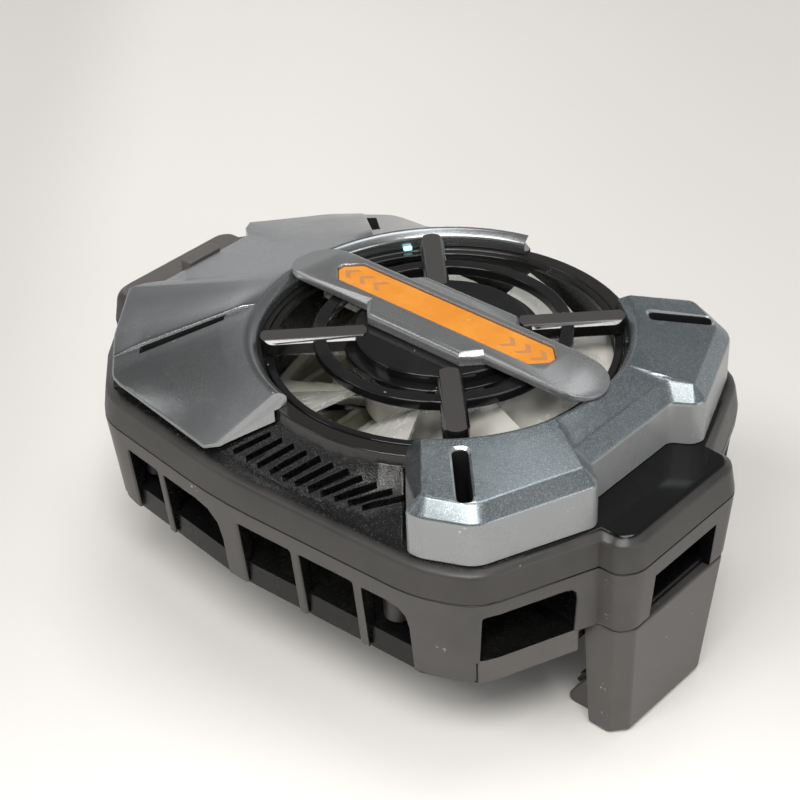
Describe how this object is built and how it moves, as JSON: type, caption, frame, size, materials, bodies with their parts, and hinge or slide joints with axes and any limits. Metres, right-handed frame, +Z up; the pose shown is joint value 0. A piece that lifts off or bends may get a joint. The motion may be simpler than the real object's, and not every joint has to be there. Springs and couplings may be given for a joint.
{
  "type": "phone cooling fan",
  "caption": "Clip-on phone cooler: a clear fan under a guard and cross bar, grey trim wings, vented black housing, cold plate below and sprung sliding jaws.",
  "frame": {"origin": "on the ground, midway between the two jaws and under the middle of the body", "axes": "+X along the clip to the front jaw, +Y across it, +Z up out of the fan"},
  "size_m": [0.0782, 0.0534, 0.0382],
  "materials": {
    "shell": "satin black",
    "trim": "gunmetal paint with fine flake",
    "label": "satin orange",
    "guard": "gloss black",
    "blades": "clear, slightly milky",
    "steel": "plain",
    "bronze": "sintered",
    "copper": "enamelled wire",
    "magnet": "ferrite",
    "aluminium": "plain",
    "ceramic": "white ceramic",
    "board": "green solder mask",
    "pad": "soft rubber",
    "lamp": "cyan lens"
  },
  "bodies": {
    "housing": {"upper_housing": "shell", "lower_housing": "shell", "base_plate": "shell", "left_wing": "trim", "right_wing": "trim", "cross_bar": "trim", "label_plate": "label", "fan_guard": "guard", "shaft_bearing": "bronze", "stator_core": "steel", "stator_windings": "copper", "fan_frame": "shell", "heat_sink": "aluminium", "cooling_module": "ceramic", "cold_plate": "aluminium", "contact_pad": "pad", "control_board": "board", "board_screws": "steel", "status_lights": "lamp", "usb_socket": "steel", "front_jaw_spring": "steel", "rear_jaw_spring": "steel", "housing_screws": "steel"},
    "rotor": {"fan_rotor": "blades", "fan_shaft": "steel", "rotor_magnet": "magnet"},
    "front_jaw": {"front_jaw": "shell", "front_jaw_pad": "pad"},
    "rear_jaw": {"rear_jaw": "shell", "rear_jaw_pad": "pad"}
  },
  "joints": [
    {"name": "fan_spin", "type": "hinge", "parent": "housing", "child": "rotor", "pos_m": [0.00635, 0, 0.03], "axis": [0, 0, 1], "continuous": true},
    {"name": "front_jaw_slide", "type": "slide", "parent": "housing", "child": "front_jaw", "axis": [1, 0, 0], "range_m": [0, 0.008], "stiffness_N_per_m": 250, "springref_m": -0.008, "deforming": ["front_jaw_spring"]},
    {"name": "rear_jaw_slide", "type": "slide", "parent": "housing", "child": "rear_jaw", "axis": [-1, 0, 0], "range_m": [0, 0.008], "stiffness_N_per_m": 250, "springref_m": -0.008, "deforming": ["rear_jaw_spring"]}
  ]
}
